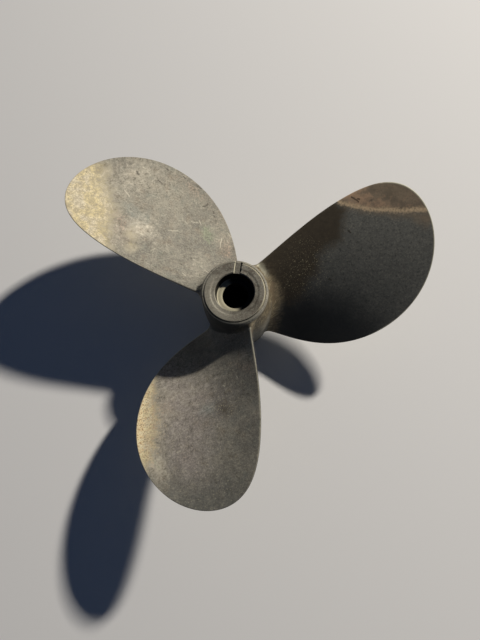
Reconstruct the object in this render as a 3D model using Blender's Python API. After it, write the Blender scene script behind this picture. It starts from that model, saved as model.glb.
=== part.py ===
# Three-bladed right-hand ship propeller, cast in one piece with its hub.
# Metres. +Z runs along the shaft axis toward the small, aft end of the hub, +X along the
# root line of the first blade. The origin is the centre of mass, which lies on the axis.
import math

import bmesh
import bpy
import numpy as np

# Blade size and twist
DIAMETER = 0.508
BLADE_COUNT = 3
PITCH = 0.508
PITCH_STATION = 0.6
PITCH_RISE = 0.34
PITCH_BEND = -0.62
RAKE_SLOPE = 0.27
RAKE_BEND = 0.08
SKEW = math.radians(10.5)
SKEW_STATION = 0.3

# Blade outline: half widths, square to the radius, at stations given as shares of the radius.
# At the root the fillet of the high edge ends this far below the hub's shoulder.
ROOT_CLEARANCE = 0.0005
WIDTH_STATIONS = (0.35, 0.55, 0.75, 0.92)
HALF_WIDTHS = (0.0560, 0.0765, 0.0820, 0.0615)
TIP_STATION = 0.93

# Blade thickness
ROOT_THICKNESS = 0.0215
TIP_THICKNESS = 0.0024
EDGE_THICKNESS = 0.0018
ROOT_EDGE_THICKNESS = 0.0060
EDGE_STATION = 0.45
FILLET = 0.022
EDGE_FILLET = 0.0090
FILLET_START = 0.12
ROOT_BURY = 0.005

# Hub outside, heights measured from the level where the blade root lines leave the axis.
# From the flank the shoulder is rounded inward and up to the foot of the collar.
HUB_LENGTH = 0.142
HUB_AFT = 0.074
COLLAR_DIAMETER = 0.0750
COLLAR_HEIGHT = 0.0015
SHOULDER_DIAMETER = 0.0830
SHOULDER_RISE = 0.0025
WAIST_DIAMETER = 0.0880
FORE_DIAMETER = 0.0800
RIM_CHAMFER = 0.0006
FORE_CHAMFER = 0.0020

# Hub inside
BORE_DIAMETER = 0.0405
BORE_TAPER = 1 / 16
COUNTERBORE_DIAMETER = 0.0484
COUNTERBORE_DEPTH = 0.017
BORE_CHAMFER = 0.0012

# Slot across the aft end face
SLOT_WIDTH = 0.0075
SLOT_DEPTH = 0.0020
SLOT_ANGLE = math.radians(73.5)

# Fineness of the facets
HUB_SIDES = 72
HUB_CURVE_STEPS = 8
SHOULDER_STEPS = 4
CHORD_STEPS = 16
BLADE_ROWS = 12
FILLET_ROWS = 5
EDGE_STEPS = 4

RADIUS = DIAMETER / 2
HUB_FORE = HUB_AFT - HUB_LENGTH
SHOULDER_LEVEL = HUB_AFT - COLLAR_HEIGHT - SHOULDER_RISE
SEAT_LEVEL = HUB_AFT - COUNTERBORE_DEPTH
SEAT_BORE_DIAMETER = BORE_DIAMETER - BORE_TAPER * (HUB_LENGTH - COUNTERBORE_DEPTH)
HUB_CURVE = np.polyfit(
    (SHOULDER_LEVEL, 0.0, HUB_FORE),
    (SHOULDER_DIAMETER / 2, WAIST_DIAMETER / 2, FORE_DIAMETER / 2),
    2,
)


def clearScene():
    for item in list(bpy.data.objects):
        bpy.data.objects.remove(item, do_unlink=True)


def bronze():
    material = bpy.data.materials.new("aged_bronze")
    material.use_nodes = True
    shader = material.node_tree.nodes["Principled BSDF"]
    shader.inputs["Base Color"].default_value = (0.30, 0.25, 0.16, 1.0)
    shader.inputs["Metallic"].default_value = 0.8
    shader.inputs["Roughness"].default_value = 0.55
    return material


def hubRadius(level):
    inside = min(max(level, HUB_FORE), SHOULDER_LEVEL)
    return float(np.polyval(HUB_CURVE, inside))


# Half the width of the blade where it leaves the hub, set by the height that is free for it
def rootHalfWidth():
    radius = WAIST_DIAMETER / 2
    free = SHOULDER_LEVEL - ROOT_CLEARANCE - EDGE_FILLET - rake(radius)
    return free / advance(radius) * radius


# The half widths as a smooth curve, before the tip is rounded off
def outlineCurve():
    stations = (WAIST_DIAMETER / DIAMETER,) + WIDTH_STATIONS
    widths = (rootHalfWidth(),) + HALF_WIDTHS
    full = [width / math.sqrt(1 - station) for width, station in zip(widths, stations)]
    return np.polyfit(stations, full, len(stations) - 1)


# The width falls off with the root of the distance from the tip, which rounds the tip.
def halfWidth(radius):
    share = min(radius / RADIUS, 1.0)
    return math.sqrt(1 - share) * float(np.polyval(OUTLINE, share))


# The radius between the tip station and the tip at which the half width has a given size
def outlineRadius(width):
    near = TIP_STATION * RADIUS
    far = RADIUS
    for _ in range(40):
        middle = (near + far) / 2
        if halfWidth(middle) > width:
            near = middle
        else:
            far = middle
    return (near + far) / 2


def skewAngle(radius):
    run = max(radius / RADIUS - SKEW_STATION, 0.0) / (1 - SKEW_STATION)
    return SKEW * run ** 2


def advance(radius):
    offset = radius / RADIUS - PITCH_STATION
    return PITCH / math.tau * (1 + PITCH_RISE * offset + PITCH_BEND * offset ** 2)


def rake(radius):
    return RAKE_SLOPE * radius + RAKE_BEND * RADIUS * (radius / RADIUS - PITCH_STATION) ** 2


# A point in space from the measures of a blade section: its radius, the distance along the
# aft face from the middle of the chord, and the height above the aft face
def sectionPoint(radius, along, above):
    slope = advance(radius)
    run = math.hypot(radius, slope)
    middle = skewAngle(radius)
    angle = middle + (along - above * slope / radius) / run
    level = rake(radius) + slope * middle + (along * slope + above * radius) / run
    return np.array([radius * math.cos(angle), radius * math.sin(angle), level])


def edgeThickness(radius):
    run = max(EDGE_STATION - radius / RADIUS, 0.0) / EDGE_STATION
    return EDGE_THICKNESS + (ROOT_EDGE_THICKNESS - EDGE_THICKNESS) * run


# The back is arched: full thickness in the middle of the chord, edge thickness at its ends.
def thickness(radius, share):
    full = TIP_THICKNESS + (ROOT_THICKNESS - TIP_THICKNESS) * (1 - radius / RADIUS)
    edge = edgeThickness(radius)
    return edge + (full - edge) * (1 - min(share * share, 1.0))


# How far the fillet stands out from the blade at a height above the hub. It is an arc, broad
# in the middle of the chord and small at the edges.
def flare(across, height):
    size = EDGE_FILLET + (FILLET - EDGE_FILLET) * (1 - across ** 2) ** 2
    depth = size - min(max(height, FILLET_START * size), size)
    return size - math.sqrt(size ** 2 - depth ** 2)


# One cell of the blade: across runs from -1 at the low edge to 1 at the high edge, row from
# 0 at the hub to 1 at the tip, where the row bends round to follow the outline.
def bladeCell(across, row, bulge):
    waist = WAIST_DIAMETER / 2
    level = rake(waist) + advance(waist) * across * halfWidth(waist) / waist
    root = hubRadius(level)
    side = root + (TIP_STATION * RADIUS - root) * row
    radius = side + bulge * max(row, 0.0) ** 3
    width = across * halfWidth(side)
    share = 1.0 if row >= 1.0 else width / halfWidth(radius)
    return {
        "radius": radius,
        "along": width / radius * math.hypot(radius, advance(radius)),
        "deep": thickness(radius, share),
        "edge": edgeThickness(radius),
        "spread": flare(across, radius - root),
    }


def rowShares():
    reach = TIP_STATION * RADIUS - WAIST_DIAMETER / 2
    first = FILLET_START * FILLET
    shares = [-ROOT_BURY / reach]
    for step in range(FILLET_ROWS + 1):
        shares.append((first + (FILLET - first) * (step / FILLET_ROWS) ** 1.5) / reach)
    start = shares[-1]
    for step in range(1, BLADE_ROWS + 1):
        shares.append(start + (1 - start) * math.sin(math.pi / 2 * step / BLADE_ROWS))
    return shares


# Outward directions along the edge of the blade, as shares in the radius and along the chord,
# keyed by row and place across. They never lean toward the hub.
def edgeDirections(cells, rows, places):
    path = [(row, 0) for row in range(rows)]
    path += [(rows - 1, place) for place in range(1, places)]
    path += [(row, places - 1) for row in range(rows - 2, -1, -1)]
    directions = {}
    for index, key in enumerate(path):
        before = cells[path[max(index - 1, 0)]]
        after = cells[path[min(index + 1, len(path) - 1)]]
        out = max(after["along"] - before["along"], 0.0)
        aside = before["radius"] - after["radius"]
        run = math.hypot(out, aside)
        directions[key] = (out / run, aside / run)
    return directions


# Points round the blade edge, from the aft face to the back, both ends included
def edgeArc(cell, outward):
    reach = cell["edge"] / 2 + cell["spread"]
    points = []
    for step in range(EDGE_STEPS + 1):
        turn = math.pi * (0.5 - step / EDGE_STEPS)
        side = reach * math.cos(turn)
        above = reach * math.sin(turn) - cell["edge"] / 2
        radius = cell["radius"] + side * outward[0]
        points.append(sectionPoint(radius, cell["along"] + side * outward[1], above))
    return points


def addStrip(mesh, first, second):
    for index in range(len(first) - 1):
        corners = (first[index], first[index + 1], second[index + 1], second[index])
        mesh.faces.new(corners)


def addBlade(mesh, start):
    shares = rowShares()
    places = [2 * step / CHORD_STEPS - 1 for step in range(CHORD_STEPS + 1)]
    corner = TIP_STATION * RADIUS
    bulges = [outlineRadius(abs(place) * halfWidth(corner)) - corner for place in places]
    cells = {}
    for row, share in enumerate(shares):
        for index, place in enumerate(places):
            cells[row, index] = bladeCell(place, share, bulges[index])
    directions = edgeDirections(cells, len(shares), len(places))
    turn = np.array([
        [math.cos(start), -math.sin(start), 0.0],
        [math.sin(start), math.cos(start), 0.0],
        [0.0, 0.0, 1.0],
    ])

    def vertex(position):
        return mesh.verts.new(turn @ position)

    last = len(shares) - 1
    end = len(places) - 1
    face = {}
    back = {}
    arcs = {}
    for key, cell in cells.items():
        below = -cell["deep"] - cell["spread"]
        face[key] = vertex(sectionPoint(cell["radius"], cell["along"], cell["spread"]))
        back[key] = vertex(sectionPoint(cell["radius"], cell["along"], below))
    for key, outward in directions.items():
        ring = edgeArc(cells[key], outward)
        arcs[key] = [face[key]] + [vertex(spot) for spot in ring[1:-1]] + [back[key]]
    for row in range(last):
        addStrip(mesh, [face[row, i] for i in range(end + 1)], [face[row + 1, i] for i in range(end + 1)])
        addStrip(mesh, [back[row + 1, i] for i in range(end + 1)], [back[row, i] for i in range(end + 1)])
        addStrip(mesh, arcs[row + 1, 0], arcs[row, 0])
        addStrip(mesh, arcs[row, end], arcs[row + 1, end])
    for index in range(end):
        addStrip(mesh, arcs[last, index + 1], arcs[last, index])
        mesh.faces.new((face[0, index + 1], face[0, index], back[0, index], back[0, index + 1]))
    mesh.faces.new(arcs[0, 0])
    mesh.faces.new(list(reversed(arcs[0, end])))


def hubProfile():
    collar = COLLAR_DIAMETER / 2
    counterbore = COUNTERBORE_DIAMETER / 2
    seat = SEAT_BORE_DIAMETER / 2
    bore = BORE_DIAMETER / 2
    points = [
        (bore, HUB_FORE + BORE_CHAMFER),
        (bore + BORE_CHAMFER, HUB_FORE),
        (FORE_DIAMETER / 2 - FORE_CHAMFER, HUB_FORE),
    ]
    low = HUB_FORE + FORE_CHAMFER
    for step in range(HUB_CURVE_STEPS + 1):
        level = low + (SHOULDER_LEVEL - low) * step / HUB_CURVE_STEPS
        points.append((hubRadius(level), level))
    reach = SHOULDER_DIAMETER / 2 - collar
    for step in range(1, SHOULDER_STEPS + 1):
        turn = math.pi / 2 * step / SHOULDER_STEPS
        points.append((collar + reach * math.cos(turn), SHOULDER_LEVEL + SHOULDER_RISE * math.sin(turn)))
    points += [
        (collar, HUB_AFT - RIM_CHAMFER),
        (collar - RIM_CHAMFER, HUB_AFT),
        (counterbore + BORE_CHAMFER, HUB_AFT),
        (counterbore, HUB_AFT - BORE_CHAMFER),
        (counterbore, SEAT_LEVEL),
        (seat, SEAT_LEVEL),
    ]
    return points


def addHub(mesh):
    profile = hubProfile()
    rings = []
    for side in range(HUB_SIDES):
        angle = math.tau * side / HUB_SIDES
        spots = [(math.cos(angle) * out, math.sin(angle) * out, level) for out, level in profile]
        rings.append([mesh.verts.new(spot) for spot in spots])
    for side in range(HUB_SIDES):
        here = rings[side]
        there = rings[(side + 1) % HUB_SIDES]
        for index in range(len(profile)):
            after = (index + 1) % len(profile)
            mesh.faces.new((here[index], there[index], there[after], here[after]))


def addSlot(mesh):
    inner = COUNTERBORE_DIAMETER / 4
    outer = COLLAR_DIAMETER
    floor = HUB_AFT - SLOT_DEPTH
    roof = HUB_AFT + SLOT_DEPTH
    along = np.array([math.cos(SLOT_ANGLE), math.sin(SLOT_ANGLE), 0.0])
    aside = np.array([-math.sin(SLOT_ANGLE), math.cos(SLOT_ANGLE), 0.0]) * SLOT_WIDTH / 2
    rows = []
    for level in (floor, roof):
        up = np.array([0.0, 0.0, level])
        spots = (inner * along - aside, outer * along - aside, outer * along + aside, inner * along + aside)
        rows.append([mesh.verts.new(spot + up) for spot in spots])
    mesh.faces.new(list(reversed(rows[0])))
    mesh.faces.new(rows[1])
    for index in range(4):
        after = (index + 1) % 4
        mesh.faces.new((rows[0][index], rows[0][after], rows[1][after], rows[1][index]))


def newObject(name, fill):
    mesh = bmesh.new()
    fill(mesh)
    bmesh.ops.recalc_face_normals(mesh, faces=mesh.faces)
    data = bpy.data.meshes.new(name)
    mesh.to_mesh(data)
    mesh.free()
    item = bpy.data.objects.new(name, data)
    bpy.context.scene.collection.objects.link(item)
    return item


def addBlades(mesh):
    for number in range(BLADE_COUNT):
        addBlade(mesh, math.tau * number / BLADE_COUNT)


def combine(body, other, operation):
    other.hide_render = True
    other.display_type = "WIRE"
    step = body.modifiers.new(other.name, "BOOLEAN")
    step.operation = operation
    step.solver = "EXACT"
    step.object = other


# The finished solid as one plain mesh, with its centre of mass moved to the origin
def settle(body, helpers):
    view = bpy.context.evaluated_depsgraph_get()
    data = bpy.data.meshes.new_from_object(body.evaluated_get(view))
    mesh = bmesh.new()
    mesh.from_mesh(data)
    bmesh.ops.triangulate(mesh, faces=mesh.faces)
    volume = 0.0
    moment = 0.0
    for face in mesh.faces:
        first, second, third = (corner.co for corner in face.verts)
        part = first.dot(second.cross(third)) / 6
        volume += part
        moment += part * (first.z + second.z + third.z) / 4
    bmesh.ops.translate(mesh, verts=mesh.verts, vec=(0.0, 0.0, -moment / volume))
    mesh.to_mesh(data)
    mesh.free()
    body.modifiers.clear()
    body.data = data
    for helper in helpers:
        bpy.data.objects.remove(helper, do_unlink=True)


def buildPropeller():
    body = newObject("propeller", addHub)
    blades = newObject("blade_bodies", addBlades)
    slot = newObject("slot_body", addSlot)
    combine(body, blades, "UNION")
    combine(body, slot, "DIFFERENCE")
    settle(body, (blades, slot))
    body.data.materials.clear()
    body.data.materials.append(bronze())
    body.data.shade_smooth()
    body.data.set_sharp_from_angle(angle=math.radians(30))


OUTLINE = outlineCurve()
clearScene()
buildPropeller()
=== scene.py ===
import math

import bmesh
import bpy
import numpy as np
from mathutils import Matrix, Vector
from mathutils.geometry import delaunay_2d_cdt


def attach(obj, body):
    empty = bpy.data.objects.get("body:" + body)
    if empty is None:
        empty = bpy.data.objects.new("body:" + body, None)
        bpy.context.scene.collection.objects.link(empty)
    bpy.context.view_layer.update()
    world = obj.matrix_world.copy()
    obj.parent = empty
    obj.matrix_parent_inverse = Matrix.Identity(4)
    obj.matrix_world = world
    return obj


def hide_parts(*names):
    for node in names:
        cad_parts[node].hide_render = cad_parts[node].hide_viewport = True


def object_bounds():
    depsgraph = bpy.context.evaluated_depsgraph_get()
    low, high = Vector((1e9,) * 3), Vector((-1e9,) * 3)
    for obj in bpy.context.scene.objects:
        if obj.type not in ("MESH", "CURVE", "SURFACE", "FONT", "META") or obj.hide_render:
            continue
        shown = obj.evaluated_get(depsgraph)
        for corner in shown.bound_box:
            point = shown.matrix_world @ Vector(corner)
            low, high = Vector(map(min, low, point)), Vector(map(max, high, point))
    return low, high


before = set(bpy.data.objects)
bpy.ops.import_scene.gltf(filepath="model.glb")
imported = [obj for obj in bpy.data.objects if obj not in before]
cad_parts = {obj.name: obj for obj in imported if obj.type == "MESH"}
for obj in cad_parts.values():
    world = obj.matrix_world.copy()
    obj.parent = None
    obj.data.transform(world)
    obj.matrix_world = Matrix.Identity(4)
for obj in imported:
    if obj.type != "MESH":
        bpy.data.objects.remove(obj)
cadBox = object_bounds()
print("frame loaded")

# Everything is in metres and degrees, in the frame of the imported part. Heights of blade and hub
# are measured from the level where the blade root lines leave the axis. datum is its height.

hub = {
    "length": 0.142,
    "aft": 0.074,             # aft face above the root level
    "collarDiameter": 0.0750,
    "collarHeight": 0.0015,
    "shoulderDiameter": 0.0830,
    "shoulderRise": 0.0025,   # height of the round from the flank to the foot of the collar
    "waistDiameter": 0.0880,
    "foreDiameter": 0.0800,
    "foreRound": 0.0020,
    "rimRound": 0.0006,       # broken edge of the collar
    "boreDiameter": 0.0405,   # at the fore end
    "boreTaper": 1 / 16,
    "counterboreDiameter": 0.0484,
    "counterboreDepth": 0.017,
    "boreBevel": 0.0012,
    "cornerRound": 0.0024,    # where the wall of the counterbore meets the seat
    "ringDiameter": 0.0600,   # shallow turned ring round the counterbore
    "ringDepth": 0.0003,
    "ringBevel": 0.0004,
    "wallStep": 0.0010,       # first step down the wall of the counterbore
    "seatBevel": 0.0008,      # inner edge of the seat, across
    "grooveWidth": 0.0009,    # tool groove at the foot of the collar
    "grooveDepth": 0.0007,
    "slotDepth": 0.0020,
    "slotAngle": 73.0,
    "columns": 64,            # facets of the flank between two blades
    "rows": 82,
    "clearance": 0.6,         # of the flank's points from a fillet's foot, in facets
    "shoulderSteps": 8,
    "mergeDistance": 2e-6,
    "sharpAngle": 35,         # edges that turn more than this stay sharp
}

blade = {
    "count": 3,
    "diameter": 0.508,
    "pitch": 0.508,
    "pitchStation": 0.6,      # share of the radius at which the pitch is as given
    "pitchRise": 0.34,
    "pitchBend": -0.62,
    "rakeSlope": 0.27,        # rise toward the aft end, in shares of the radius
    "rakeBend": 0.08,
    "skew": 10.5,             # at the tip, growing from the station below
    "skewStation": 0.3,
    "rootRoom": 0.0095,       # from the high edge's root to the shoulder of the hub
    "widthStations": (0.35, 0.55, 0.75, 0.92),
    "halfWidths": (0.0560, 0.0765, 0.0820, 0.0615),
    "tipStation": 0.93,       # from where the rings of the blade bend round to follow the tip
    "rootThickness": 0.0215,
    "tipThickness": 0.0024,
    "edgeThickness": 0.0018,
    "rootEdgeThickness": 0.0060,
    "edgeStation": 0.45,      # inside of which the edges grow thicker toward the root
    "fillet": 0.022,
    "edgeFillet": 0.0084,     # the fillet at the edges of the root
    "chordSteps": 72,
    "rows": 84,
    "filletRows": 12,
    "edgeSteps": 8,
    "halvings": 40,           # of the search for a place on the outline
    "fitRounds": 12,          # in which the foot of a fillet comes to rest on the flank
}

radius = blade["diameter"] / 2
waist = hub["waistDiameter"] / 2
hubFore = hub["aft"] - hub["length"]
foot = hub["aft"] - hub["collarHeight"]
shoulder = foot - hub["shoulderRise"]
seat = hub["aft"] - hub["counterboreDepth"]
collarRim = hub["collarDiameter"] / 2
flankLow = hubFore + hub["foreRound"]
sector = math.tau / blade["count"]
datum = cadBox[0].z - hubFore
flank = np.polyfit(
    (shoulder, 0.0, hubFore),
    (hub["shoulderDiameter"] / 2, waist, hub["foreDiameter"] / 2),
    2,
)


def hubRadius(level):
    return np.polyval(flank, np.clip(level, hubFore, shoulder))


def advance(out):
    offset = out / radius - blade["pitchStation"]
    change = blade["pitchRise"] * offset + blade["pitchBend"] * offset ** 2
    return blade["pitch"] / math.tau * (1 + change)


def rake(out):
    bend = blade["rakeBend"] * radius * (out / radius - blade["pitchStation"]) ** 2
    return blade["rakeSlope"] * out + bend


def skewAngle(out):
    run = np.maximum(out / radius - blade["skewStation"], 0) / (1 - blade["skewStation"])
    return math.radians(blade["skew"]) * run ** 2


def outlineCurve():
    free = shoulder - blade["rootRoom"] - rake(waist)
    stations = (waist / radius,) + blade["widthStations"]
    widths = (free / advance(waist) * waist,) + blade["halfWidths"]
    full = [width / math.sqrt(1 - station) for width, station in zip(widths, stations)]
    return np.polyfit(stations, full, len(stations) - 1)


outline = outlineCurve()


# Half the chord, square to the radius
def halfWidth(out):
    share = np.minimum(out / radius, 1)
    return np.sqrt(1 - share) * np.polyval(outline, share)


# The radius near the tip at which the half width has a given size
def outlineRadius(width):
    near = np.full_like(width, blade["tipStation"] * radius)
    far = np.full_like(width, radius)
    for _ in range(blade["halvings"]):
        middle = (near + far) / 2
        wide = halfWidth(middle) > width
        near = np.where(wide, middle, near)
        far = np.where(wide, far, middle)
    return (near + far) / 2


def edgeThickness(out):
    run = np.maximum(blade["edgeStation"] - out / radius, 0) / blade["edgeStation"]
    return blade["edgeThickness"] + (blade["rootEdgeThickness"] - blade["edgeThickness"]) * run


def thickness(out, share):
    gain = blade["rootThickness"] - blade["tipThickness"]
    full = blade["tipThickness"] + gain * (1 - out / radius)
    edge = edgeThickness(out)
    return edge + (full - edge) * (1 - np.minimum(share * share, 1))


# A point from its radius, its distance along the chord and its height above the aft face
def sectionPoint(out, along, above):
    slope = advance(out)
    run = np.hypot(out, slope)
    middle = skewAngle(out)
    angle = middle + (along - above * slope / out) / run
    level = rake(out) + slope * middle + (along * slope + above * out) / run
    return np.stack([out * np.cos(angle), out * np.sin(angle), level], -1)


# Which way the edge of the blade faces: shares in the radius and along the chord
def edgeFacing(out, side):
    step = 1e-5
    far = np.minimum(out, radius - 2 * step)
    slope = (halfWidth(far + step) - halfWidth(far - step)) / (2 * step)
    lean = np.maximum(-slope, 0)
    run = np.maximum(np.hypot(lean, side), step)
    return lean / run, side / run


# turn is 90 on the aft face, -90 on the back and between them round the edge. spread is how
# far the fillet stands out.
def bladePoint(out, width, share, turn, spread):
    edge = edgeThickness(out)
    reach = edge / 2 + spread
    lean, aside = edgeFacing(out, np.sign(width))
    step = reach * np.cos(np.radians(turn))
    level = reach * np.sin(np.radians(turn)) - edge / 2
    above = np.where(turn <= -90, -thickness(out, share) - spread, level)
    along = width / out * np.hypot(out, advance(out)) + step * aside
    return sectionPoint(out + step * lean, along, above)


# Places and turns of one ring round the blade: aft face, high edge, back, low edge
def ringPlan():
    chord = np.linspace(-1, 1, blade["chordSteps"] + 1)
    arc = np.linspace(90, -90, blade["edgeSteps"] + 1)[1:-1]
    place = np.concatenate([chord, np.ones_like(arc), chord[::-1], -np.ones_like(arc)])
    turn = np.concatenate([np.full_like(chord, 90), arc, np.full_like(chord, -90), arc[::-1]])
    return place, turn


# Rings from the foot of the fillet on the hub to the tip
def bladeRings():
    place, turn = ringPlan()
    corner = blade["tipStation"] * radius
    size = blade["edgeFillet"] + (blade["fillet"] - blade["edgeFillet"]) * (1 - place ** 2) ** 2
    bulge = outlineRadius(np.abs(place) * halfWidth(corner)) - corner
    rings = []
    start = np.full_like(place, waist)
    for row in range(blade["filletRows"] + 1):
        lift = math.pi / 2 * row / blade["filletRows"]
        height = size * (1 - math.cos(lift))
        spread = size * (1 - math.sin(lift))
        for _ in range(blade["fitRounds"]):
            out = start + height
            ring = bladePoint(out, place * halfWidth(out), place, turn, spread)
            start = hubRadius(ring[:, 2])
        rings.append(ring)
    root = start
    start = root + size
    for row in range(1, blade["rows"] + 1):
        side = start + (corner - start) * math.sin(math.pi / 2 * row / blade["rows"])
        out = side + bulge * ((side - root) / (corner - root)) ** 3
        width = place * halfWidth(side)
        last = row == blade["rows"]
        share = np.ones_like(place) if last else width / halfWidth(out)
        rings.append(bladePoint(out, width, share, turn, 0 * place))
    return rings


# Rows of points that close the rim of the tip, one row for each place across
def tipArcs():
    corner = blade["tipStation"] * radius
    arc = np.linspace(90, -90, blade["edgeSteps"] + 1)
    rows = []
    for place in np.linspace(-1, 1, blade["chordSteps"] + 1):
        width = np.full_like(arc, place * halfWidth(corner))
        out = outlineRadius(np.abs(width))
        rows.append(bladePoint(out, width, np.ones_like(arc), arc, 0 * arc))
    return rows


def azimuthOf(points):
    return np.arctan2(points[:, 1], points[:, 0])


def spun(points, angle):
    turn = np.array([
        [math.cos(angle), math.sin(angle), 0],
        [-math.sin(angle), math.cos(angle), 0],
        [0, 0, 1],
    ])
    return points @ turn


def addGrid(mesh, rows, closed):
    grid = [[mesh.verts.new(spot) for spot in row] for row in rows]
    for low, high in zip(grid, grid[1:]):
        count = len(low)
        for index in range(count if closed else count - 1):
            after = (index + 1) % count
            mesh.faces.new((low[index], low[after], high[after], high[index]))


def inside(points, loop):
    hits = np.zeros(len(points), bool)
    for start, end in zip(loop, np.roll(loop, -1, 0)):
        crosses = (start[1] > points[:, 1]) != (end[1] > points[:, 1])
        share = (points[:, 1] - start[1]) / (end[1] - start[1] + 1e-12)
        hits ^= crosses & (points[:, 0] < start[0] + share * (end[0] - start[0]))
    return hits


# The angle where a sector of the flank begins at a level: it leans with the blade root
def sectorStart(level, middle):
    return (level - rake(waist)) / advance(waist) + middle - sector / 2


# One sector of the flank, unrolled flat, with the lowest ring of the blade's fillet as a hole
# in it. It returns the middle of the sector and its triangles.
def flankSector(ring):
    loop = np.stack([azimuthOf(ring) * waist, ring[:, 2]], -1)
    lean = loop[:, 0] / waist - (loop[:, 1] - rake(waist)) / advance(waist)
    middle = (lean.min() + lean.max()) / 2
    levels = np.linspace(flankLow, shoulder, hub["rows"] + 1)
    steps = np.linspace(0, sector, hub["columns"] + 1)
    grid = [[(sectorStart(z, middle) + step) * waist, z] for z in levels for step in steps]
    grid = np.array(grid)
    number = np.arange(len(grid)).reshape(len(levels), len(steps))
    rim = np.concatenate([number[0], number[1:, -1], number[-1, -2::-1], number[-2:0:-1, 0]])
    kept = ~inside(grid, loop)
    spacing = waist * sector / hub["columns"]
    gaps = np.linalg.norm(grid[:, None] - loop[None], axis=2).min(1)
    kept &= gaps > hub["clearance"] * spacing
    kept[rim] = True
    order = np.full(len(grid), -1)
    order[kept] = np.arange(kept.sum())
    points = np.concatenate([grid[kept], loop])
    first = kept.sum()
    ring = [(first + i, first + (i + 1) % len(loop)) for i in range(len(loop))]
    edges = [(int(order[a]), int(order[b])) for a, b in zip(rim, np.roll(rim, -1))] + ring
    flat = [Vector(spot) for spot in points.tolist()]
    spots, _, faces, _, _, _ = delaunay_2d_cdt(flat, edges, [], 2, 1e-9)
    spots = np.array([list(spot) for spot in spots])
    hole = inside(np.array([spots[list(face)].mean(0) for face in faces]), loop)
    faces = [face for face, hidden in zip(faces, hole) if not hidden]
    out = hubRadius(spots[:, 1])
    angle = spots[:, 0] / waist
    solid = np.stack([out * np.cos(angle), out * np.sin(angle), spots[:, 1]], -1)
    return middle, solid, faces


def arcPoints(centre, size, start, end, steps=5):
    turns = np.radians(np.linspace(start, end, steps + 1))
    return [(centre[0] + size * math.cos(t), centre[1] + size * math.sin(t)) for t in turns]


def seatRadius():
    run = hub["length"] - hub["counterboreDepth"]
    return (hub["boreDiameter"] - hub["boreTaper"] * run) / 2


# The turned end of the hub, from the shoulder inward and down to the seat
def aftProfile():
    aft = hub["aft"]
    bevel = hub["boreBevel"]
    counterbore = hub["counterboreDiameter"] / 2
    ring = hub["ringDiameter"] / 2
    ringBevel = hub["ringBevel"]
    low = aft - hub["ringDepth"]
    width = hub["grooveWidth"]
    depth = hub["grooveDepth"]
    groove = collarRim + 1.6 * width
    reach = float(hubRadius(shoulder)) - groove
    rimRound = hub["rimRound"]
    corner = hub["cornerRound"]
    hole = seatRadius()
    edge = hub["seatBevel"]
    turns = np.linspace(0, math.pi / 2, hub["shoulderSteps"] + 1)
    rise = hub["shoulderRise"]
    points = [(groove + reach * math.cos(t), shoulder + rise * math.sin(t)) for t in turns]
    points += [
        (collarRim + width, foot - 0.25 * depth),
        (collarRim + 0.6 * width, foot - depth),
        (collarRim + 0.2 * width, foot - depth),
        (collarRim, foot - 0.4 * depth),
        (collarRim, foot + 0.5 * rimRound),
    ]
    points += arcPoints((collarRim - rimRound, aft - rimRound), rimRound, 0, 90)
    points += [
        (0.7 * collarRim + 0.3 * ring, aft),
        (0.3 * collarRim + 0.7 * ring, aft),
        (ring + ringBevel, aft),
        (ring, aft - 0.4 * hub["ringDepth"]),
        (ring - ringBevel, low),
        (0.5 * ring + 0.5 * (counterbore + bevel), low),
        (counterbore + bevel, low),
        (counterbore + 0.45 * bevel, low - 0.45 * bevel),
        (counterbore, low - bevel),
        (counterbore, aft - bevel - hub["wallStep"]),
        (counterbore, (aft + seat) / 2),
    ]
    points += arcPoints((counterbore - corner, seat + corner), corner, 0, -90)
    points += [
        (0.5 * (counterbore + hole), seat),
        (hole + edge, seat),
        (hole + 0.375 * edge, seat - 0.25 * edge),
        (hole, seat - 0.875 * edge),
    ]
    return points


# The fore end, from the flank inward and up into the bore
def foreProfile():
    rim = float(hubRadius(flankLow))
    size = hub["foreRound"]
    bore = hub["boreDiameter"] / 2
    bevel = hub["boreBevel"]
    return arcPoints((rim - size, flankLow), size, 0, -90) + [
        (0.5 * (rim + bore), hubFore),
        (bore + bevel, hubFore),
        (bore + 0.4 * bevel, hubFore + 0.4 * bevel),
        (bore, hubFore + bevel),
    ]


def ringsOf(profile, start, count):
    angles = start + math.tau * np.arange(count) / count
    return [
        np.stack([out * np.cos(angles), out * np.sin(angles), np.full(count, level)], -1)
        for out, level in profile
    ]


def meshObject(name, mesh):
    data = bpy.data.meshes.new(name)
    mesh.to_mesh(data)
    mesh.free()
    item = bpy.data.objects.new(name, data)
    bpy.context.scene.collection.objects.link(item)
    return item


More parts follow.
